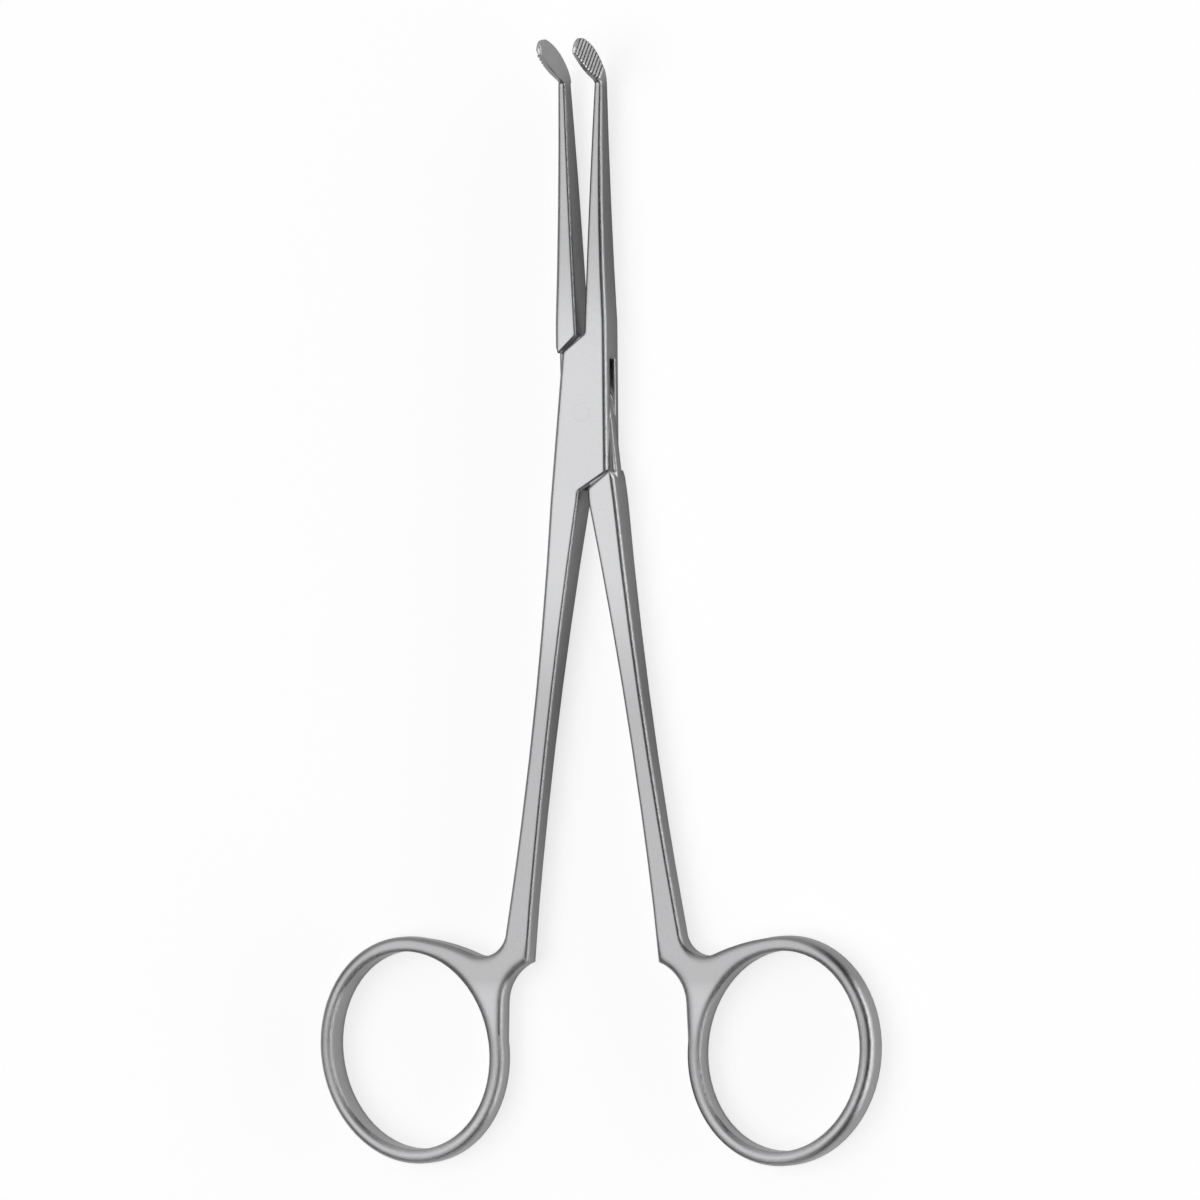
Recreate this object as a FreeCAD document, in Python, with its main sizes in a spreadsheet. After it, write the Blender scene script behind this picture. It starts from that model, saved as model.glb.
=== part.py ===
import FreeCAD, Part
import math
import os
import Sketcher

# A pylorus spreader: two ring-handled steel halves that cross in a box joint on one pin.
# Millimetres. +Y runs from the finger rings to the tips, +X to the right seen from the
# front, +Z to the front. The origin is on the joint's axis, on the underside of the box.
# Each half is drawn as it lies in the closed instrument, whose middle line is the Y axis,
# and is then turned half the rest angle about the pin.

# Driving dimensions: name, value, meaning.
SIZES = (
    ("rest_turn", 2.7, "turn of each half from closed, as photographed, degrees"),
    ("thick", 4.2, "thickness of the box"),
    ("jaw_gap", 0.1, "from the middle line to a closed jaw's inner face"),
    ("jaw_root_out", 3.2, "half width where the jaw leaves the box"),
    ("shank_root_out", 4.4, "half width where the shank leaves the box"),
    ("shank_root_in", 0.25, "from the middle line to the shank's inner face at its root"),
    ("root_reach", 12.0, "from the pin to the jaw's root and to the shank's root"),
    ("cheek_long", 10.38, "from the pin to the inner corner of a cheek's slanting end"),
    ("cheek_short", 7.65, "from the pin to the outer corner of a cheek's slanting end"),
    ("cheek_jaw_out", 3.24, "half width at the outer corner towards the jaws"),
    ("cheek_shank_out", 3.98, "half width at the outer corner towards the shanks"),
    ("shoulder_gap", 0.12, "closed gap between a cheek's end and the other half's shoulder"),
    ("shoulder_relief", 0.45, "corner taken off the outer end of a shoulder"),
    ("edge_bevel", 0.45, "bevel along the outer edges"),
    ("inner_bevel", 0.25, "bevel along the inner edges"),
    ("slot_height", 1.5, "slot through the box, across the cheeks"),
    ("slot_gap", 0.05, "clearance on each face of the tongue"),
    ("slot_reach", 7.2, "from the pin to the slot's end at the box's side"),
    ("tongue_flush", 2.0, "how far past the pin the tongue's edge is flush with the side"),
    ("tongue_inset", 0.06, "tongue's edge behind the side of the box, closed"),
    ("tongue_short", 0.5, "tongue's ends inside the roots"),
    ("pin_dia", 2.4, "joint pin"),
    ("pin_seat_gap", 0.005, "pin in the cheeks, all round"),
    ("pin_run_gap", 0.03, "pin in the tongue, all round"),
    ("jaw_mid_y", 28.0, "middle section of the jaw"),
    ("jaw_mid_out", 2.0, "half width at the middle section"),
    ("jaw_mid_depth", 3.45, "jaw's depth there"),
    ("jaw_end_y", 44.0, "end of the jaw, at the neck of the pad"),
    ("jaw_end_out", 1.18, "half width at the neck"),
    ("jaw_end_depth", 2.0, "depth at the neck"),
    ("jaw_end_bevel", 0.26, "bevel at the neck"),
    ("pad_bend", 54.0, "pad's bend out of the jaw, degrees"),
    ("pad_root_y", 44.3, "where the pad's axis starts, along the jaw"),
    ("pad_root_z", 2.6, "and above the underside"),
    ("pad_thick", 1.14, "pad's thickness"),
    ("pad_proud", 0.02, "pad's inner face in front of the jaw's inner face"),
    ("pad_heel_run", 1.43, "pad's heel inside the jaw, before its axis starts"),
    ("pad_heel_back", 0.67, "heel's back edge, off the axis"),
    ("pad_heel_radius", 4.0, "back edge as it turns out of the jaw"),
    ("pad_base_back", 1.6, "back edge at the start of the axis"),
    ("pad_back_radius", 10.0, "bulge of the back edge"),
    ("pad_end_run", 7.1, "from there to the round end"),
    ("pad_end_back", 1.35, "back edge at the round end"),
    ("pad_end_front", 1.6, "front edge at the round end"),
    ("pad_end_extra", 0.55, "how much further the front edge runs"),
    ("pad_tip_radius", 1.78, "round end of the pad"),
    ("pad_front_radius", 20.0, "bulge of the front edge"),
    ("pad_throat_run", 1.3, "start of the hollow curve into the jaw"),
    ("pad_throat_front", 0.78, "front edge there"),
    ("pad_throat_radius", 3.0, "that hollow curve"),
    ("pad_root_front", 0.62, "front edge at the start of the axis"),
    ("pad_inner_bevel", 0.1, "bevel round the pad's inner face"),
    ("pad_outer_bevel", 0.4, "bevel round its outer face"),
    ("pad_thinning", 0.5, "how much thinner the pad is at the tip"),
    ("field_offset", 0.75, "start of the serrations along the pad's axis"),
    ("groove_spacing", 0.73, "serrations' pitch"),
    ("groove_count", 10, "number of grooves"),
    ("groove_depth", 0.28, "depth of a groove"),
    ("shank_end_y", 66.0, "end of the shank's taper, above the web"),
    ("shank_end_out", 9.2, "shank's outer edge at that end"),
    ("shank_end_in", 5.87, "shank's inner edge at that end"),
    ("shank_out_bow", 0.6, "bow of the outer edge, inwards"),
    ("shank_in_bow", 0.52, "bow of the inner edge, outwards"),
    ("shank_end_depth", 2.8, "shank's depth at its end"),
    ("shank_depth_bow", 0.3, "how far the depth runs below an even taper"),
    ("web_bevel", 0.35, "bevel along the web's edges"),
    ("web_lead", 3.6, "straight start of the web's outer edge"),
    ("web_valley_x", 14.7, "end of the hollow outer curve above the ring"),
    ("web_valley_y", 72.8, "its height below the pin"),
    ("web_valley_radius", 3.6, "radius of the hollow outer curve"),
    ("web_crest_x", 22.3, "where the web runs out on the ring's top"),
    ("web_crest_y", 71.15, "its height below the pin"),
    ("web_crest_radius", 30.0, "radius of the run-out"),
    ("web_tuck", 0.15, "web's lower end inside the ring's outline"),
    ("step_x", 6.25, "corner of the step inside the ring"),
    ("step_y", 73.55, "its height below the pin"),
    ("step_radius", 6.0, "hollow curve from the step to the ring"),
    ("step_foot_x", 9.95, "foot of that curve"),
    ("step_foot_y", 79.1, "its height below the pin"),
    ("ring_near", 9.75, "ring's near side from the middle line"),
    ("ring_top", 70.85, "ring's top below the pin"),
    ("ring_half_wide", 13.7, "outer half width of the ring"),
    ("ring_oval", 1.6, "how much more its half length is"),
    ("ring_tilt", 15.0, "lean of the ring's long axis, degrees"),
    ("ring_band", 1.95, "ring's band, hole to rim"),
    ("ring_depth", 4.1, "depth of the ring's blank"),
    ("ring_crown", 1.35, "rounding of the ring's rim"),
    ("ring_far_depth", 4.0, "ring's depth on its far side"),
    ("hole_bevel", 0.16, "bevel round the finger hole"),
)

doc = FreeCAD.newDocument("pylorus_spreader")
sheet = doc.addObject("Spreadsheet::Sheet", "Sizes")
for row, (name, value, meaning) in enumerate(SIZES, start=1):
    sheet.set("A%d" % row, name.replace("_", " "))
    sheet.set("B%d" % row, str(value))
    sheet.set("C%d" % row, meaning)
    sheet.setAlias("B%d" % row, name)
doc.recompute()


def size(text):
    """An expression over the sheet's cells: each bare word becomes its cell."""
    names = sorted((entry[0] for entry in SIZES), key=len, reverse=True)
    result = ""
    word = ""
    for letter in text + " ":
        if letter.isalnum() or letter == "_":
            word += letter
            continue
        result += "Sizes." + word if word in names else word
        result += letter
        word = ""
    return result.strip()


def bind(thing, place, text):
    """Tie one property of an object to the sheet."""
    thing.setExpression(place, size(text))


def number(text):
    """The present value of an expression over the sheet."""
    return float(sheet.evalExpression(size(text)))


def new_sketch(body, name, role, offset=("0", "0", "0"), turn="0"):
    """A sketch on one of the body's origin planes, shifted and turned in that plane."""
    sketch = body.newObject("Sketcher::SketchObject", name)
    plane = [item for item in body.Origin.OriginFeatures if item.Role == role][0]
    sketch.AttachmentSupport = [(plane, "")]
    sketch.MapMode = "FlatFace"
    spin = FreeCAD.Rotation(FreeCAD.Vector(0, 0, 1), number(turn))
    sketch.AttachmentOffset = FreeCAD.Placement(FreeCAD.Vector(0, 0, 0), spin)
    for axis, text in zip("xyz", offset):
        bind(sketch, "AttachmentOffset.Base." + axis, text)
    if turn != "0":
        bind(sketch, "AttachmentOffset.Rotation.Angle", turn)
    return sketch


def hold(sketch, kind, value, *places):
    """One dimension of a sketch, tied to the sheet."""
    index = sketch.addConstraint(Sketcher.Constraint(kind, *places, number(value)))
    bind(sketch, "Constraints[%d]" % index, value)


def outline(sketch, corners):
    """A closed outline. A corner is (x, y) and the run to the next one is straight, or
    (x, y, radius, bend): then it is an arc, which bulges left of the run for bend 1."""
    first = sketch.GeometryCount
    count = len(corners)
    spots = [FreeCAD.Vector(number(corner[0]), number(corner[1]), 0) for corner in corners]
    ends = []
    for index, corner in enumerate(corners):
        start = spots[index]
        end = spots[(index + 1) % count]
        if len(corner) == 2:
            sketch.addGeometry(Part.LineSegment(start, end), False)
            ends.append((1, 2))
            continue
        chord = end - start
        radius = number(corner[2])
        left = FreeCAD.Vector(-chord.y, chord.x, 0).normalize()
        rise = radius - math.sqrt(radius ** 2 - (chord.Length / 2) ** 2)
        middle = start + chord * 0.5 + left * (corner[3] * rise)
        # A sketch's arc runs anticlockwise, so one that bulges left starts at the far end.
        if corner[3] > 0:
            start, end = end, start
        ends.append((2, 1) if corner[3] > 0 else (1, 2))
        sketch.addGeometry(Part.Arc(start, middle, end), False)
    for index, corner in enumerate(corners):
        here = first + index
        after = first + (index + 1) % count
        joint = (here, ends[index][1], after, ends[(index + 1) % count][0])
        sketch.addConstraint(Sketcher.Constraint("Coincident", *joint))
        hold(sketch, "DistanceX", corner[0], -1, 1, here, ends[index][0])
        hold(sketch, "DistanceY", corner[1], -1, 1, here, ends[index][0])
        if len(corner) > 2:
            hold(sketch, "Radius", corner[2], here)


def ellipse(sketch, half_long, half_wide, centre=("0", "0")):
    """An ellipse with its long axis along the sketch's x axis."""
    first = sketch.GeometryCount
    middle = FreeCAD.Vector(number(centre[0]), number(centre[1]), 0)
    sketch.addGeometry(Part.Ellipse(middle, number(half_long), number(half_wide)), False)
    sketch.exposeInternalGeometry(first)
    sketch.addConstraint(Sketcher.Constraint("Horizontal", first + 1))
    hold(sketch, "DistanceX", centre[0], -1, 1, first, 3)
    hold(sketch, "DistanceY", centre[1], -1, 1, first, 3)
    hold(sketch, "Distance", "2 * (%s)" % half_long, first + 1)
    hold(sketch, "Distance", "2 * (%s)" % half_wide, first + 2)


def pad(body, name, sketch, length, midplane=False, back=False):
    """Material from a sketch, along its normal, to both sides of it or behind it."""
    feature = body.newObject("PartDesign::Pad", name)
    feature.Profile = sketch
    feature.Midplane = midplane
    feature.Reversed = back
    bind(feature, "Length", length)
    doc.recompute()
    return feature


def pocket(body, name, sketch, length):
    """A cut to both sides of a sketch, checked to have taken something away."""
    before = body.Shape.Volume
    feature = body.newObject("PartDesign::Pocket", name)
    feature.Profile = sketch
    feature.Midplane = True
    bind(feature, "Length", length)
    doc.recompute()
    if not body.Shape.Volume < before:
        raise RuntimeError(name + " cuts nothing")
    return feature


def dress(body, kind, name, test, amount):
    """A chamfer or fillet on the edges of the body's tip that pass a test."""
    base = body.Tip
    names = ["Edge%d" % i for i, edge in enumerate(base.Shape.Edges, 1) if test(edge)]
    feature = body.newObject("PartDesign::" + kind, name)
    feature.Base = (base, names)
    bind(feature, "Size" if kind == "Chamfer" else "Radius", amount)
    doc.recompute()
    return feature


def middle_of(edge):
    """The point half way along an edge, by its parameter."""
    return edge.valueAt((edge.FirstParameter + edge.LastParameter) / 2)


def loft(body, name, sketches):
    """A smooth bar through several sections."""
    feature = body.newObject("PartDesign::AdditiveLoft", name)
    feature.Profile = sketches[0]
    feature.Sections = sketches[1:]
    feature.Ruled = False
    doc.recompute()
    return feature


def bar_section(body, name, y, inner, outer, depth, in_bevel, out_bevel, slopes=("0", "0")):
    """A bevelled bar's section across Y, from its inner to its outer side. Where an edge
    runs at a slope to Y, its bevel is that much wider across the bar."""
    sketch = new_sketch(body, name, "XZ_Plane", ("0", "0", "-(%s)" % y))
    way = "1" if number(outer) > number(inner) else "-1"
    inset_in = "(%s) + %s * (%s) * sqrt(1 + %s * %s)" % (inner, way, in_bevel, slopes[0], slopes[0])
    inset_out = "(%s) - %s * (%s) * sqrt(1 + %s * %s)" % (outer, way, out_bevel, slopes[1], slopes[1])
    low = "thick / 2 - (%s) / 2" % depth
    high = "thick / 2 + (%s) / 2" % depth
    outline(sketch, [
        (inset_in, low),
        (inset_out, low),
        (outer, low + " + (%s)" % out_bevel),
        (outer, high + " - (%s)" % out_bevel),
        (inset_out, high),
        (inset_in, high),
        (inner, high + " - (%s)" % in_bevel),
        (inner, low + " + (%s)" % in_bevel),
    ])
    return sketch


def mirrored(side, corners):
    """Outline corners for the half whose ring is on the left (1) or the right (-1)."""
    result = []
    for corner in corners:
        moved = ("%d * (%s)" % (side, corner[0]), corner[1])
        if len(corner) > 2:
            moved += (corner[2], side * corner[3])
        result.append(moved)
    return result


def at(text, value):
    """A formula in t, with t written out."""
    return text.replace("T", "(%s)" % value)


# Outer and inner edge and depth of the shank, over T from 0 at its root to 1 at its end.
SHANK_OUT = "-(shank_root_out + (shank_end_out - shank_root_out) * T - 4 * shank_out_bow * T * (1 - T))"
SHANK_IN = "-(shank_root_in + (shank_end_in - shank_root_in) * T + 4 * shank_in_bow * T * (1 - T))"
SHANK_DEPTH = "thick + (shank_end_depth - thick) * T - 4 * shank_depth_bow * T * (1 - T)"
SHANK_Y = "-(root_reach + (shank_end_y - root_reach) * T)"
SHANK_STEPS = 3

# Slopes of the outer edges against Y.
JAW_SLOPE = "((cheek_shank_out - jaw_root_out) / (root_reach + cheek_short))"
SIDE_SLOPE = "((shank_root_out - cheek_jaw_out) / (root_reach + cheek_short))"
INSET_SLOPE = "((shank_root_in - jaw_gap) / (root_reach - cheek_long))"
LEAD_SLOPE = "((shank_end_out - shank_root_out + 4 * shank_out_bow) / (shank_end_y - root_reach))"
STEP_SLOPE = "((step_x - shank_end_in) / (step_y - shank_end_y))"

# Middle of the ring, below the web and outside it.
RING_X = "(ring_near + ring_half_wide)"
RING_Y = "(ring_top + ring_half_wide + ring_oval)"


def long_bars(body, side):
    """The jaw's bar and the shank's bar, from the box outwards."""
    jaw = []
    stations = (
        ("root_reach", "jaw_root_out", "thick", "inner_bevel", "edge_bevel", ("0", JAW_SLOPE)),
        ("jaw_mid_y", "jaw_mid_out", "jaw_mid_depth", "inner_bevel", "edge_bevel", ("0", "0")),
        ("jaw_end_y", "jaw_end_out", "jaw_end_depth", "jaw_end_bevel", "jaw_end_bevel", ("0", "0")),
    )
    for index, (y, outer, depth, in_bevel, out_bevel, slopes) in enumerate(stations):
        ends = ["%d * (%s)" % (side, edge) for edge in ("jaw_gap", outer)]
        name = "jaw_section_%d" % index
        jaw.append(bar_section(body, name, y, *ends, depth, in_bevel, out_bevel, slopes))
    loft(body, "jaw_bar", jaw)
    shank = []
    slopes = {0: (INSET_SLOPE, SIDE_SLOPE), SHANK_STEPS: (STEP_SLOPE, LEAD_SLOPE)}
    for index in range(SHANK_STEPS + 1):
        part = "%d / %d" % (index, SHANK_STEPS)
        ends = ["%d * (%s)" % (side, at(edge, part)) for edge in (SHANK_IN, SHANK_OUT)]
        out_bevel = "edge_bevel + (web_bevel - edge_bevel) * " + part
        in_bevel = "inner_bevel + (web_bevel - inner_bevel) * " + part
        name = "shank_section_%d" % index
        shank.append(bar_section(
            body, name, at(SHANK_Y, part), *ends, at(SHANK_DEPTH, part), in_bevel, out_bevel,
            slopes.get(index, ("0", "0"))))
    loft(body, "shank_bar", shank)


def bevel_block(body):
    """Bevels along the outer and the inner edges of the blocks at the box."""
    middle = number("jaw_root_out") / 2

    def lengthwise(edge):
        box = edge.BoundBox
        return box.ZLength < 1e-6 and box.XLength < 0.2 * box.YLength

    def outer_edge(edge):
        return lengthwise(edge) and abs(middle_of(edge).x) > middle

    def inner_edge(edge):
        return lengthwise(edge) and abs(middle_of(edge).x) < middle

    dress(body, "Chamfer", "block_bevel", outer_edge, "edge_bevel")
    dress(body, "Chamfer", "block_inner_bevel", inner_edge, "inner_bevel")


def pin_bore(body, gap):
    """The hole for the joint pin."""
    sketch = new_sketch(body, "bore_outline", "XY_Plane")
    sketch.addGeometry(Part.Circle(FreeCAD.Vector(0, 0, 0), FreeCAD.Vector(0, 0, 1), 1), False)
    sketch.addConstraint(Sketcher.Constraint("Coincident", 0, 3, -1, 1))
    hold(sketch, "Radius", "pin_dia / 2 + " + gap, 0)
    pocket(body, "pin_bore", sketch, "4 * thick")


def box_blade(side):
    """Jaw, box and shank of the half with the slot: two cheeks, joined at the roots."""
    body = doc.addObject("PartDesign::Body", "box_blade")
    cheeks = new_sketch(body, "cheek_outline", "XY_Plane")
    outline(cheeks, mirrored(side, [
        ("jaw_gap", "cheek_long"),
        ("jaw_gap", "root_reach"),
        ("jaw_root_out", "root_reach"),
        ("cheek_shank_out", "-cheek_short"),
        ("-jaw_gap", "-cheek_long"),
        ("-shank_root_in", "-root_reach"),
        ("-shank_root_out", "-root_reach"),
        ("-cheek_jaw_out", "cheek_short"),
    ]))
    pad(body, "cheeks", cheeks, "thick")
    bevel_block(body)
    long_bars(body, side)
    # The slot runs out at both sides and at the cheeks' slanting ends. Its end walls
    # stand where the jaw and the shank join the cheeks.
    slot = new_sketch(body, "slot_outline", "XY_Plane", ("0", "0", "thick / 2"))
    wide = "2 * shank_root_out"
    outline(slot, mirrored(side, [
        (wide, "slot_reach"),
        ("cheek_jaw_out", "slot_reach"),
        ("jaw_gap", "cheek_long"),
        ("-" + wide, "cheek_long"),
        ("-" + wide, "-slot_reach"),
        ("-cheek_shank_out", "-slot_reach"),
        ("-jaw_gap", "-cheek_long"),
        (wide, "-cheek_long"),
    ]))
    pocket(body, "slot", slot, "slot_height")
    pin_bore(body, "pin_seat_gap")
    return body


def tongue_blade(side):
    """Jaw, tongue and shank of the half that passes through the slot."""
    body = doc.addObject("PartDesign::Body", "tongue_blade")
    # Full thickness from the slanting shoulders outwards, to the roots.
    roots = new_sketch(body, "root_outline", "XY_Plane")
    jaw_corner = "(jaw_root_out + %s * (root_reach - cheek_short))" % JAW_SLOPE
    shank_corner = "(shank_root_out - %s * (root_reach - cheek_short))" % SIDE_SLOPE
    for half_side, root_in, root_out, corner, cheek_out in (
        (1, "jaw_gap", "jaw_root_out", jaw_corner, "cheek_jaw_out"),
        (-1, "shank_root_in", "shank_root_out", shank_corner, "cheek_shank_out"),
    ):
        inside = "(%s - shoulder_relief)" % corner
        # The other half's cheek end, mirrored, with the gap added.
        lean = "((cheek_long - cheek_short) / (%s + jaw_gap))" % cheek_out
        shift = "shoulder_gap * sqrt(1 + %s * %s)" % (lean, lean)

        def shoulder(x):
            return "(cheek_short + (%s - (%s)) * %s + %s)" % (cheek_out, x, lean, shift)

        turn = side * half_side
        outline(roots, mirrored(turn, [
            (root_in, "%d * root_reach" % half_side),
            (root_out, "%d * root_reach" % half_side),
            (corner, "%d * (%s + 2 * shoulder_relief)" % (half_side, shoulder(inside))),
            (inside, "%d * %s" % (half_side, shoulder(inside))),
            (root_in, "%d * %s" % (half_side, shoulder(root_in))),
        ]))
    pad(body, "roots", roots, "thick")
    bevel_block(body)
    tongue = new_sketch(body, "tongue_outline", "XY_Plane", ("0", "0", "thick / 2"))
    jaw_side = "(jaw_root_out + %s * (root_reach - (%s)) - tongue_inset)"
    shank_side = "-(shank_root_out - %s * (root_reach - (%s)) - tongue_inset)"
    reach = "(root_reach - tongue_short)"
    outline(tongue, mirrored(side, [
        ("jaw_gap", "cheek_long"),
        ("jaw_gap", reach),
        (jaw_side % (JAW_SLOPE, reach), reach),
        (jaw_side % (JAW_SLOPE, "-tongue_flush"), "-tongue_flush"),
        ("-jaw_gap", "-cheek_long"),
        ("-shank_root_in", "-" + reach),
        (shank_side % (SIDE_SLOPE, reach), "-" + reach),
        (shank_side % (SIDE_SLOPE, "-tongue_flush"), "tongue_flush"),
    ]))
    pad(body, "tongue", tongue, "slot_height - 2 * slot_gap", midplane=True)
    long_bars(body, side)
    pin_bore(body, "pin_run_gap")
    return body


def taper_ring(body, side):
    """Front and back ground down towards the shank, by a flat wedge on each side."""
    sketch = new_sketch(body, "taper_outline", "XZ_Plane", ("0", "0", RING_Y))
    near = "ring_near"
    far = "ring_near + 3 * ring_half_wide"
    rise = "(ring_far_depth - shank_end_depth) * (%s - (%s)) / (4 * ring_half_wide)" % (far, near)
    for way in (1, -1):
        outline(sketch, mirrored(side, [
            ("0", "thick / 2 + %d * shank_end_depth / 2" % way),
            ("-(%s)" % near, "thick / 2 + %d * shank_end_depth / 2" % way),
            ("-(%s)" % far, "thick / 2 + %d * (shank_end_depth / 2 + %s)" % (way, rise)),
            ("-(%s)" % far, "thick / 2 + %d * 2 * ring_depth" % way),
            ("0", "thick / 2 + %d * 2 * ring_depth" % way),
        ]))
    pocket(body, "ring_taper", sketch, "4 * (ring_half_wide + ring_oval)")


def finger_hole(body, side):
    """The oval hole for a finger, with a small bevel round it, front and back."""
    place = ("%d * %s" % (-side, RING_X), "-" + RING_Y, "thick / 2")
    sketch = new_sketch(body, "hole_outline", "XY_Plane", place, "90 + %d * ring_tilt" % side)
    ellipse(sketch, "ring_half_wide + ring_oval - ring_band", "ring_half_wide - ring_band")
    pocket(body, "finger_hole", sketch, "4 * ring_depth")
    half_long = number("ring_half_wide + ring_oval - ring_band")
    half_wide = number("ring_half_wide - ring_band")
    centre = FreeCAD.Vector(-side * number(RING_X), -number(RING_Y), 0)
    upright = FreeCAD.Rotation(FreeCAD.Vector(0, 0, 1), -90 - side * number("ring_tilt"))

    def hole_edge(edge):
        if edge.BoundBox.ZLength > 1.5:
            return False
        for share in (0.2, 0.5, 0.8):
            span = edge.LastParameter - edge.FirstParameter
            point = upright.multVec(edge.valueAt(edge.FirstParameter + share * span) - centre)
            if abs((point.x / half_long) ** 2 + (point.y / half_wide) ** 2 - 1) > 1e-3:
                return False
        return True

    dress(body, "Chamfer", "hole_bevel", hole_edge, "hole_bevel")


def web(side):
    """The flat web that carries the ring, with the step on its inner side."""
    body = doc.addObject("PartDesign::Body", "web")
    sketch = new_sketch(body, "web_outline", "XY_Plane", ("0", "0", "thick / 2"))
    lead_x = "-(shank_end_out + %s * web_lead)" % LEAD_SLOPE
    outline(sketch, mirrored(side, [
        ("-shank_end_out", "-shank_end_y"),
        (lead_x, "-(shank_end_y + web_lead)", "web_valley_radius", 1),
        ("-web_valley_x", "-web_valley_y", "web_crest_radius", -1),
        ("-web_crest_x", "-web_crest_y"),
        ("-" + RING_X, "-" + RING_Y),
        ("-(ring_near + ring_band / 2)", "-" + RING_Y),
        ("-(ring_near + web_tuck)", "-(%s - ring_band)" % RING_Y),
        ("-step_foot_x", "-step_foot_y", "step_radius", 1),
        ("-step_x", "-step_y"),
        ("-shank_end_in", "-shank_end_y"),
    ]))
    pad(body, "web_blank", sketch, "ring_depth", midplane=True)
    taper_ring(body, side)
    low = -number("step_foot_y")
    high = -number("shank_end_y") - 0.01

    def outer_edge(edge):
        spot = middle_of(edge)
        level = edge.BoundBox.ZLength < 0.5 and edge.BoundBox.XLength > 1e-6
        return level and low < spot.y < high and abs(spot.x) < number("web_crest_x")

    dress(body, "Chamfer", "web_bevel", outer_edge, "web_bevel")
    finger_hole(body, side)
    return body


def ring(side):
    """The finger ring: an oval disc with a crowned rim, ground to a taper and pierced."""
    body = doc.addObject("PartDesign::Body", "ring")
    place = ("%d * %s" % (-side, RING_X), "-" + RING_Y, "thick / 2")
    sketch = new_sketch(body, "rim_outline", "XY_Plane", place, "90 + %d * ring_tilt" % side)
    ellipse(sketch, "ring_half_wide + ring_oval", "ring_half_wide")
    pad(body, "disc", sketch, "ring_depth", midplane=True)
    dress(body, "Fillet", "crowned_rim", lambda edge: edge.BoundBox.ZLength < 1e-6, "ring_crown")
    taper_ring(body, side)
    finger_hole(body, side)
    return body


def tip_pad(side):
    """The pad: a leaf-shaped plate, bent up out of the jaw, serrated on its outer face.
    It is drawn flat, with its axis along Y and its back edge at negative Z."""
    body = doc.addObject("PartDesign::Body", "tip_pad")
    body.Placement = FreeCAD.Placement(
        FreeCAD.Vector(0, 0, 0), FreeCAD.Rotation(FreeCAD.Vector(1, 0, 0), number("pad_bend")))
    bind(body, "Placement.Base.x", "%d * (jaw_gap - pad_proud)" % side)
    bind(body, "Placement.Base.y", "pad_root_y")
    bind(body, "Placement.Base.z", "pad_root_z")
    bind(body, "Placement.Rotation.Angle", "pad_bend")
    leaf = new_sketch(body, "leaf_outline", "YZ_Plane")
    outline(leaf, [
        ("-pad_heel_run", "-pad_heel_back", "pad_heel_radius", -1),
        ("0", "-pad_base_back", "pad_back_radius", -1),
        ("pad_end_run", "-pad_end_back", "pad_tip_radius", -1),
        ("pad_end_run + pad_end_extra", "pad_end_front", "pad_front_radius", -1),
        ("pad_throat_run", "pad_throat_front", "pad_throat_radius", 1),
        ("0", "pad_root_front"),
    ])
    pad(body, "leaf", leaf, "pad_thick", back=side < 0)

    def inner_rim(edge):
        return isinstance(edge.Curve, Part.Circle) and abs(middle_of(edge).x) < number("pad_thick") / 2

    def outer_rim(edge):
        return isinstance(edge.Curve, Part.Circle) and abs(middle_of(edge).x) > number("pad_thick") / 2

    dress(body, "Chamfer", "outer_bevel", outer_rim, "pad_outer_bevel")
    dress(body, "Chamfer", "inner_bevel", inner_rim, "pad_inner_bevel")
    # Straight V grooves right across, on a face that falls towards the tip.
    teeth = [("2 * pad_thick", "field_offset"), ("pad_thick", "field_offset")]
    for index in range(int(number("groove_count"))):
        fall = "pad_thick - pad_thinning * %g / groove_count"
        place = "field_offset + %g * groove_spacing"
        teeth.append((fall % (index + 0.5) + " - groove_depth", place % (index + 0.5)))
        teeth.append((fall % (index + 1), place % (index + 1)))
    teeth.append(("pad_thick - pad_thinning", "2 * pad_end_run"))
    teeth.append(("2 * pad_thick", "2 * pad_end_run"))
    profile = new_sketch(body, "teeth_outline", "XY_Plane")
    outline(profile, mirrored(side, teeth))
    pocket(body, "teeth", profile, "4 * pad_tip_radius")
    return body


def half(name, blade, side):
    """One half of the instrument, in one piece, turned about the pin to its rest angle."""
    whole = doc.addObject("Part::MultiFuse", name)
    whole.Label = name
    whole.Shapes = [blade(side), web(side), ring(side), tip_pad(side)]
    whole.Refine = False
    whole.Placement = FreeCAD.Placement(
        FreeCAD.Vector(0, 0, 0), FreeCAD.Rotation(FreeCAD.Vector(0, 0, -side), number("rest_turn")))
    bind(whole, "Placement.Rotation.Angle", "rest_turn")
    doc.recompute()
    return whole


def joint_pin():
    """The round pin through both cheeks and the tongue, ground flush with the faces."""
    body = doc.addObject("PartDesign::Body", "joint_pin")
    body.Label = "joint_pin"
    sketch = new_sketch(body, "pin_outline", "XY_Plane", ("0", "0", "thick / 2"))
    sketch.addGeometry(Part.Circle(FreeCAD.Vector(0, 0, 0), FreeCAD.Vector(0, 0, 1), 1), False)
    sketch.addConstraint(Sketcher.Constraint("Coincident", 0, 3, -1, 1))
    hold(sketch, "Radius", "pin_dia / 2", 0)
    pad(body, "pin", sketch, "thick", midplane=True)
    return body


pieces = [half("box_half", box_blade, 1), half("tongue_half", tongue_blade, -1), joint_pin()]
doc.recompute()

for item in doc.Objects:
    if "Invalid" in item.State or "Error" in item.State:
        raise RuntimeError("failed: " + item.Name)

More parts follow.
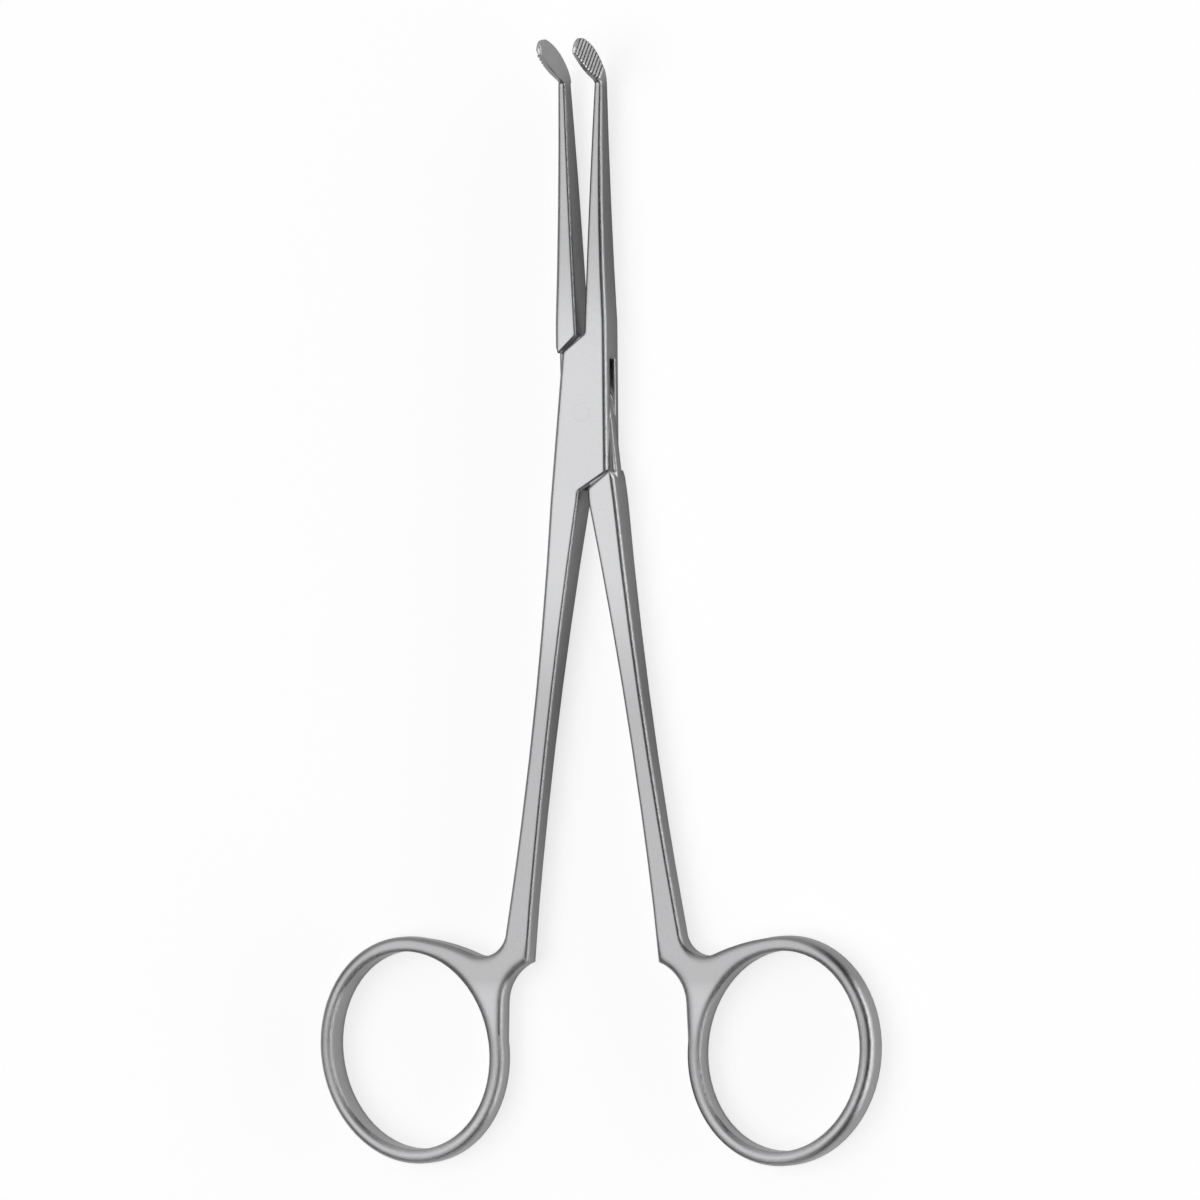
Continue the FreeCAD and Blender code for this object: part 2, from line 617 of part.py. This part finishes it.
os.makedirs("parts", exist_ok=True)
for piece in pieces:
    shape = piece.Shape
    if shape.isNull() or not shape.isValid() or len(shape.Solids) != 1:
        raise RuntimeError("not one sound solid: " + piece.Label)
    box = shape.BoundBox
    print("%s %.2f mm3, X %.2f to %.2f, Y %.2f to %.2f, Z %.2f to %.2f" % (
        piece.Label, shape.Volume, box.XMin, box.XMax, box.YMin, box.YMax, box.ZMin, box.ZMax))
    shape.exportStep(os.path.join("parts", piece.Label + ".step"))
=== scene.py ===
import math

import bpy
from mathutils import Matrix, Vector

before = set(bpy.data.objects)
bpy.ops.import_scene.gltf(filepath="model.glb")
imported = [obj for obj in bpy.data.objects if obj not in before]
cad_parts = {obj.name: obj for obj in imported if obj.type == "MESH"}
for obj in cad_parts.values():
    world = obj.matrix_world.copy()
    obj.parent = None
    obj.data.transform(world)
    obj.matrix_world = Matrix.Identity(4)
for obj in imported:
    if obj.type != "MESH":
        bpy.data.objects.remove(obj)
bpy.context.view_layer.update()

box_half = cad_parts["box_half"]
tongue_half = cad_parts["tongue_half"]
joint_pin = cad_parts["joint_pin"]


# The two halves. Each is one forging of hardened stainless steel, ground to its outline and
# then blasted with fine beads, which leaves an even satin with softly broken edges.

def math_node(tree, operation, *values):
    """One sum in a node tree: each value is a number or another node's output socket."""
    node = tree.nodes.new("ShaderNodeMath")
    node.operation = operation
    for socket, value in zip(node.inputs, values):
        if isinstance(value, bpy.types.NodeSocket):
            tree.links.new(value, socket)
        else:
            socket.default_value = value
    return node.outputs[0]


def ramp_node(tree, value, low, high, bottom, top):
    """A smooth step of a value, from bottom at low to top at high."""
    step = tree.nodes.new("ShaderNodeMapRange")
    step.interpolation_type = "SMOOTHSTEP"
    for name, number in (("From Min", low), ("From Max", high), ("To Min", bottom), ("To Max", top)):
        step.inputs[name].default_value = number
    tree.links.new(value, step.inputs["Value"])
    return step.outputs["Result"]


def own_place(tree):
    """The x, y and z of a point in the piece's own metres: y runs from the rings to the pads,
    with 0 at the pin, and x across, with 0 on the middle line."""
    place = tree.nodes.new("ShaderNodeTexCoord")
    split = tree.nodes.new("ShaderNodeSeparateXYZ")
    tree.links.new(place.outputs["Object"], split.inputs["Vector"])
    return tuple(split.outputs)


def value_group(name, takes, gives):
    """A node group of plain numbers, still empty: takes names its inputs and their values,
    and gives names its outputs."""
    group = bpy.data.node_groups.new(name, "ShaderNodeTree")
    for label, value in takes.items():
        socket = group.interface.new_socket(label, in_out="INPUT", socket_type="NodeSocketFloat")
        socket.default_value = value
    for label in gives:
        group.interface.new_socket(label, in_out="OUTPUT", socket_type="NodeSocketFloat")
    return group


def satin_grain():
    """A node group: two sizes of noise, the fine one for the beads' marks and the coarse
    one for hand grinding, turned into a tint, a roughness, a fine height and a slow swell."""
    darkest, lightest = 0.93, 1.05
    noise_low, noise_high = 0.3, 0.7
    roughness_swing = 0.12
    group = value_group(
        "satin_grain", {"Grain": 9000.0, "Cloud": 90.0, "Roughness": 0.36},
        ("Tint", "Roughness", "Height", "Swell"))
    entry = group.nodes.new("NodeGroupInput")
    leave = group.nodes.new("NodeGroupOutput")
    place = group.nodes.new("ShaderNodeTexCoord")
    noises = {}
    for label, detail in (("Grain", 3.0), ("Cloud", 0.0)):
        noise = group.nodes.new("ShaderNodeTexNoise")
        noise.inputs["Detail"].default_value = detail
        group.links.new(place.outputs["Object"], noise.inputs["Vector"])
        group.links.new(entry.outputs[label], noise.inputs["Scale"])
        noises[label] = noise.outputs["Fac"]
    tint = group.nodes.new("ShaderNodeMapRange")
    for name, number in (("From Min", noise_low), ("From Max", noise_high),
                         ("To Min", darkest), ("To Max", lightest)):
        tint.inputs[name].default_value = number
    group.links.new(noises["Grain"], tint.inputs["Value"])
    rough = math_node(group, "MULTIPLY_ADD", noises["Cloud"], roughness_swing, entry.outputs["Roughness"])
    group.links.new(tint.outputs["Result"], leave.inputs["Tint"])
    group.links.new(rough, leave.inputs["Roughness"])
    group.links.new(noises["Grain"], leave.inputs["Height"])
    group.links.new(noises["Cloud"], leave.inputs["Swell"])
    return group


def worn_edges():
    """A node group: how far edges are rounded over, by place. Wide on the shanks and wider
    on the rings, fine on the pads, and none round the pin, which is ground flush."""
    pads_from, pads_full = 0.0435, 0.0445
    rings_from, rings_full = 0.069, 0.074
    pin_edge_in, pin_edge_out = 0.0018, 0.0022
    share_on_pin = 0.01
    group = value_group("worn_edges", {"Shank": 0.0006, "Ring": 0.0020, "Pad": 0.0003}, ("Radius",))
    entry = group.nodes.new("NodeGroupInput")
    leave = group.nodes.new("NodeGroupOutput")
    x, y, _ = own_place(group)
    down = math_node(group, "MULTIPLY", y, -1.0)
    at_pad = ramp_node(group, y, pads_from, pads_full, 0.0, 1.0)
    at_ring = ramp_node(group, down, rings_from, rings_full, 0.0, 1.0)
    radius = entry.outputs["Shank"]
    for share, other in ((at_pad, "Pad"), (at_ring, "Ring")):
        rise = math_node(group, "SUBTRACT", entry.outputs[other], entry.outputs["Shank"])
        radius = math_node(group, "MULTIPLY_ADD", share, rise, radius)
    from_pin = math_node(group, "SQRT", math_node(
        group, "ADD", math_node(group, "MULTIPLY", x, x), math_node(group, "MULTIPLY", y, y)))
    off_pin = ramp_node(group, from_pin, pin_edge_in, pin_edge_out, share_on_pin, 1.0)
    group.links.new(math_node(group, "MULTIPLY", radius, off_pin), leave.inputs["Radius"])
    return group


def serration_shade_and_highlight():
    """A node group: a tint for the outer faces of the pads, with a painted highlight on a tooth's crest
    and painted shade at a groove's bottom, from the distance along the pad's axis. Elsewhere it is 1."""
    bend = math.radians(54.0)
    turn = math.radians(2.7)
    root_y, root_z = 0.0443, 0.0026
    field_offset = 0.00075
    pitch = 0.00073
    jaw_end = 0.04
    face_in, face_out = 0.0004, 0.0005
    least_sideways = 0.65
    groove_half, crest_from = 0.02, 0.42
    groove_shade, crest_highlight = -0.95, 0.25
    group = value_group("serration_shade_and_highlight", {}, ("Tint",))
    leave = group.nodes.new("NodeGroupOutput")
    x, y, z = own_place(group)
    side_x = math_node(group, "ABSOLUTE", x)
    along = math_node(group, "MULTIPLY_ADD", side_x, math.cos(bend) * math.sin(turn), math_node(
        group, "MULTIPLY_ADD", y, math.cos(bend) * math.cos(turn), math_node(
            group, "MULTIPLY", z, math.sin(bend))))
    start = root_y * math.cos(bend) + root_z * math.sin(bend) + field_offset
    phase = math_node(group, "FRACT", math_node(
        group, "DIVIDE", math_node(group, "SUBTRACT", along, start), pitch))
    off_groove = math_node(group, "ABSOLUTE", math_node(group, "SUBTRACT", phase, 0.5))
    # Painted shade at a groove's bottom and a painted highlight on a tooth's crest.
    tooth = ramp_node(group, off_groove, groove_half, crest_from, groove_shade, crest_highlight)
    behind = math_node(group, "SUBTRACT", math_node(group, "MULTIPLY", side_x, math.cos(turn)),
                       math_node(group, "MULTIPLY", y, math.sin(turn)))
    facing = group.nodes.new("ShaderNodeSeparateXYZ")
    way = group.nodes.new("ShaderNodeTexCoord")
    group.links.new(way.outputs["Normal"], facing.inputs["Vector"])
    sideways = math_node(group, "ABSOLUTE", facing.outputs["X"])
    on_face = ramp_node(group, behind, face_in, face_out, 0.0, 1.0)
    for value, least in ((along, start), (y, jaw_end), (sideways, least_sideways)):
        on_face = math_node(
            group, "MULTIPLY", on_face, math_node(group, "GREATER_THAN", value, least))
    group.links.new(math_node(group, "MULTIPLY_ADD", tooth, on_face, 1.0), leave.inputs["Tint"])
    return group


def painted_tone_by_place():
    """A node group: a tint by place that paints light and shade: 1 on the box joint, painted shade
    along the jaws, shanks and rings, and a painted sheen on the pads, brighter than the box."""
    # Below 1 is painted shade and above 1 a painted sheen, against the box joint.
    jaw_shade, pad_sheen = 0.76, 1.25
    shank_shade, ring_shade = 0.74, 0.87
    jaws_from, jaws_full = 0.008, 0.024
    pads_from, pads_full = 0.041, 0.045
    shanks_from, shanks_full = 0.020, 0.042
    rings_from, rings_full = 0.068, 0.078
    group = value_group("painted_tone_by_place", {}, ("Tint",))
    leave = group.nodes.new("NodeGroupOutput")
    _, y, _ = own_place(group)
    down = math_node(group, "MULTIPLY", y, -1.0)
    above = math_node(group, "MAXIMUM", ramp_node(group, y, jaws_from, jaws_full, 1.0, jaw_shade),
                      ramp_node(group, y, pads_from, pads_full, 0.0, pad_sheen))
    below = math_node(group, "MAXIMUM", ramp_node(group, down, shanks_from, shanks_full, 1.0, shank_shade),
                      ramp_node(group, down, rings_from, rings_full, 0.0, ring_shade))
    group.links.new(math_node(group, "MULTIPLY", above, below), leave.inputs["Tint"])
    return group


GRAIN = satin_grain()
WORN = worn_edges()
SERRATION_SHADE = serration_shade_and_highlight()
PAINTED_TONE = painted_tone_by_place()


def steel(name, colour, roughness, bump):
    """Bead-blasted steel: the grain group feeds colour, roughness and a very fine bump over
    a slow swell. Every edge shades as rounded. The colour also takes painted shade in the pads' grooves
    with a painted highlight on their crests, and painted shade and sheen by place."""
    swell_height = 0.0001
    grain_height = 0.00001
    edge_samples = 8
    material = bpy.data.materials.new(name)
    material.use_nodes = True
    tree = material.node_tree
    links = tree.links
    shader = tree.nodes["Principled BSDF"]
    shader.inputs["Metallic"].default_value = 1.0
    placed = []
    for group in (GRAIN, SERRATION_SHADE, PAINTED_TONE, WORN):
        node = tree.nodes.new("ShaderNodeGroup")
        node.node_tree = group
        placed.append(node)
    grain, tooth_shade, painted_tone_node, edges = placed
    grain.inputs["Roughness"].default_value = roughness
    # The colour is the grain times the painted shade and highlight of the serrations times the painted
    # shade and sheen by place.
    tint = math_node(tree, "MULTIPLY", grain.outputs["Tint"], math_node(
        tree, "MULTIPLY", tooth_shade.outputs["Tint"], painted_tone_node.outputs["Tint"]))
    mix = tree.nodes.new("ShaderNodeMix")
    mix.data_type = "RGBA"
    mix.blend_type = "MULTIPLY"
    mix.inputs["Factor"].default_value = 1.0
    mix.inputs["A"].default_value = (*colour, 1.0)
    links.new(tint, mix.inputs["B"])
    links.new(mix.outputs["Result"], shader.inputs["Base Color"])
    links.new(grain.outputs["Roughness"], shader.inputs["Roughness"])
    worn = tree.nodes.new("ShaderNodeBevel")
    worn.samples = edge_samples
    links.new(edges.outputs["Radius"], worn.inputs["Radius"])
    normal = worn.outputs["Normal"]
    for output, strength, height in (("Swell", 1.0, swell_height), ("Height", bump, grain_height)):
        relief = tree.nodes.new("ShaderNodeBump")
        relief.inputs["Strength"].default_value = strength
        relief.inputs["Distance"].default_value = height
        links.new(normal, relief.inputs["Normal"])
        links.new(grain.outputs[output], relief.inputs["Height"])
        normal = relief.outputs["Normal"]
    links.new(normal, shader.inputs["Normal"])
    return material


def crisp_faces():
    """A geometry group: it welds the loose triangles, shades every face smooth and keeps an
    edge sharp where its two faces meet at more than the given angle."""
    weld_distance = 1e-6
    sharp_angle = math.radians(14)
    group = bpy.data.node_groups.new("crisp_faces", "GeometryNodeTree")
    group.interface.new_socket("Geometry", in_out="INPUT", socket_type="NodeSocketGeometry")
    group.interface.new_socket("Geometry", in_out="OUTPUT", socket_type="NodeSocketGeometry")
    nodes = group.nodes
    links = group.links
    entry = nodes.new("NodeGroupInput")
    leave = nodes.new("NodeGroupOutput")
    weld = nodes.new("GeometryNodeMergeByDistance")
    weld.inputs["Distance"].default_value = weld_distance
    smooth = nodes.new("GeometryNodeSetShadeSmooth")
    smooth.domain = "FACE"
    sharp = nodes.new("GeometryNodeSetShadeSmooth")
    sharp.domain = "EDGE"
    sharp.inputs["Shade Smooth"].default_value = False
    angle = nodes.new("GeometryNodeInputMeshEdgeAngle")
    steep = nodes.new("FunctionNodeCompare")
    steep.operation = "GREATER_THAN"
    steep.inputs["B"].default_value = sharp_angle
    links.new(entry.outputs["Geometry"], weld.inputs["Geometry"])
    links.new(weld.outputs["Geometry"], smooth.inputs["Geometry"])
    links.new(smooth.outputs["Geometry"], sharp.inputs["Geometry"])
    links.new(angle.outputs["Unsigned Angle"], steep.inputs["A"])
    links.new(steep.outputs["Result"], sharp.inputs["Selection"])
    links.new(sharp.outputs["Geometry"], leave.inputs["Geometry"])
    return group


CRISP = crisp_faces()


def dress(node, material):
    """Give a forged or turned node its steel, crisp edges and even normals on flat faces."""
    node.data.materials.clear()
    node.data.materials.append(material)
    node.modifiers.new("crisp", "NODES").node_group = CRISP
    even = node.modifiers.new("even", "WEIGHTED_NORMAL")
    even.mode = "FACE_AREA"
    even.keep_sharp = True


STEEL_GREY = (0.62, 0.62, 0.63)
SATIN_ROUGHNESS = 0.14
GRAIN_BUMP = 0.08
satin = steel("satin_steel", STEEL_GREY, SATIN_ROUGHNESS, GRAIN_BUMP)
dress(box_half, satin)
dress(tongue_half, satin)


# The joint pin. A turned steel pin, riveted into the two cheeks and ground off flush with
# them. It has the halves' satin, so that its ends can hardly be told from the cheeks.
pin_steel = steel("pin_steel", STEEL_GREY, SATIN_ROUGHNESS, GRAIN_BUMP)
dress(joint_pin, pin_steel)


# The floor: a plain white table. It is lit up to white for the camera, and less for what the
# steel mirrors, more at the rings' end than under the jaws. It keeps the soft shadow.
FLOOR_REACH = 3.0
FLOOR_GREY = (0.6, 0.6, 0.6, 1.0)
CAMERA_GLOW = 0.73
JAW_GLOW, RING_GLOW = 0.10, 0.32
GLOW_RISES_FROM, GLOW_RISES_TO = 0.03, 0.085
corners = [(-FLOOR_REACH, -FLOOR_REACH, 0), (FLOOR_REACH, -FLOOR_REACH, 0),
           (FLOOR_REACH, FLOOR_REACH, 0), (-FLOOR_REACH, FLOOR_REACH, 0)]
floor_mesh = bpy.data.meshes.new("floor")
floor_mesh.from_pydata(corners, [], [(0, 1, 2, 3)])
floor = bpy.data.objects.new("floor", floor_mesh)
bpy.context.scene.collection.objects.link(floor)
paper = bpy.data.materials.new("floor_white")
paper.use_nodes = True
tree = paper.node_tree
shader = tree.nodes["Principled BSDF"]
shader.inputs["Base Color"].default_value = FLOOR_GREY
shader.inputs["Roughness"].default_value = 0.9
shader.inputs["Specular IOR Level"].default_value = 0.1
shader.inputs["Emission Color"].default_value = (1.0, 1.0, 1.0, 1.0)
path = tree.nodes.new("ShaderNodeLightPath")
_, along_floor, _ = own_place(tree)
down = math_node(tree, "MULTIPLY", along_floor, -1.0)
mirrored = ramp_node(tree, down, GLOW_RISES_FROM, GLOW_RISES_TO, JAW_GLOW, RING_GLOW)
glow = math_node(tree, "MULTIPLY", path.outputs["Is Camera Ray"], CAMERA_GLOW)
for ray in ("Is Glossy Ray", "Is Transmission Ray"):
    glow = math_node(tree, "MULTIPLY_ADD", path.outputs[ray], mirrored, glow)
tree.links.new(glow, shader.inputs["Emission Strength"])
floor_mesh.materials.append(paper)


# The light: a dim studio under one broad soft box, a little to the left, which the front
# faces mirror. A low white board far out on the right lines the edges, and a grey card beyond
# the tips keeps the ends of the pads from turning black.
STUDIO_LIGHT = 0.07
SOFT_BOX_WAY = (-0.40, 0.0, 0.917)
SOFT_BOX_EDGE = (0.72, 0.95)
SOFT_BOX_LIGHT = 1.12
CARD_WAY = (-0.45, 0.85, 0.28)
CARD_EDGE = (0.78, 0.95)
CARD_LIGHT = 0.42
BOARD_TOP = (0.14, 0.32)
BOARD_SIDE = (0.55, 0.85)
BOARD_LIGHT = 3.2
world = bpy.data.worlds.new("studio")
bpy.context.scene.world = world
world.use_nodes = True
tree = world.node_tree
back = tree.nodes["Background"]
back.inputs["Color"].default_value = (1.0, 1.0, 1.0, 1.0)
place = tree.nodes.new("ShaderNodeTexCoord")


def lit_patch(way, edge, bottom, top):
    """A round soft patch of the studio's light: bottom away from its way, top towards it, and
    between the two over its edge, given as cosines of the angle from its way."""
    toward = tree.nodes.new("ShaderNodeVectorMath")
    toward.operation = "DOT_PRODUCT"
    toward.inputs[1].default_value = way
    tree.links.new(place.outputs["Generated"], toward.inputs[0])
    return ramp_node(tree, toward.outputs["Value"], *edge, bottom, top)


soft_box = lit_patch(SOFT_BOX_WAY, SOFT_BOX_EDGE, STUDIO_LIGHT, SOFT_BOX_LIGHT)
card = lit_patch(CARD_WAY, CARD_EDGE, 0.0, CARD_LIGHT)
split = tree.nodes.new("ShaderNodeSeparateXYZ")
tree.links.new(place.outputs["Generated"], split.inputs["Vector"])
height = math_node(tree, "ABSOLUTE", split.outputs["Z"])
board = math_node(tree, "MULTIPLY", ramp_node(tree, height, *BOARD_TOP, BOARD_LIGHT, 0.0),
                  ramp_node(tree, split.outputs["X"], *BOARD_SIDE, 0.0, 1.0))
light = math_node(tree, "ADD", math_node(tree, "ADD", soft_box, board), card)
tree.links.new(light, back.inputs["Strength"])


# The camera: a long lens, leaning to the right by a little less than a third of the way down
# from overhead, and rolled by about a degree.
LEAN = math.radians(26.5)
ROLL = math.radians(-0.93)
DISTANCE = 1.6
FRAME_WIDTH = 0.1597
SENSOR = 36.0
aim = Vector((0.00133, -0.02500, 0.0021))
toward = Vector((math.sin(LEAN), 0.0, math.cos(LEAN)))
side = Vector((math.cos(LEAN), 0.0, -math.sin(LEAN)))
up = Vector((0.0, 1.0, 0.0))
right_axis = side * math.cos(ROLL) + up * math.sin(ROLL)
up_axis = up * math.cos(ROLL) - side * math.sin(ROLL)
camera_data = bpy.data.cameras.new("camera")
camera_data.sensor_width = SENSOR
camera_data.lens = SENSOR * DISTANCE / FRAME_WIDTH
camera_data.clip_end = 20.0
camera = bpy.data.objects.new("camera", camera_data)
bpy.context.scene.collection.objects.link(camera)
turn = Matrix((right_axis, up_axis, toward)).transposed().to_4x4()
camera.matrix_world = Matrix.Translation(aim + toward * DISTANCE) @ turn
bpy.context.scene.camera = camera
bpy.context.scene.view_settings.view_transform = "Standard"
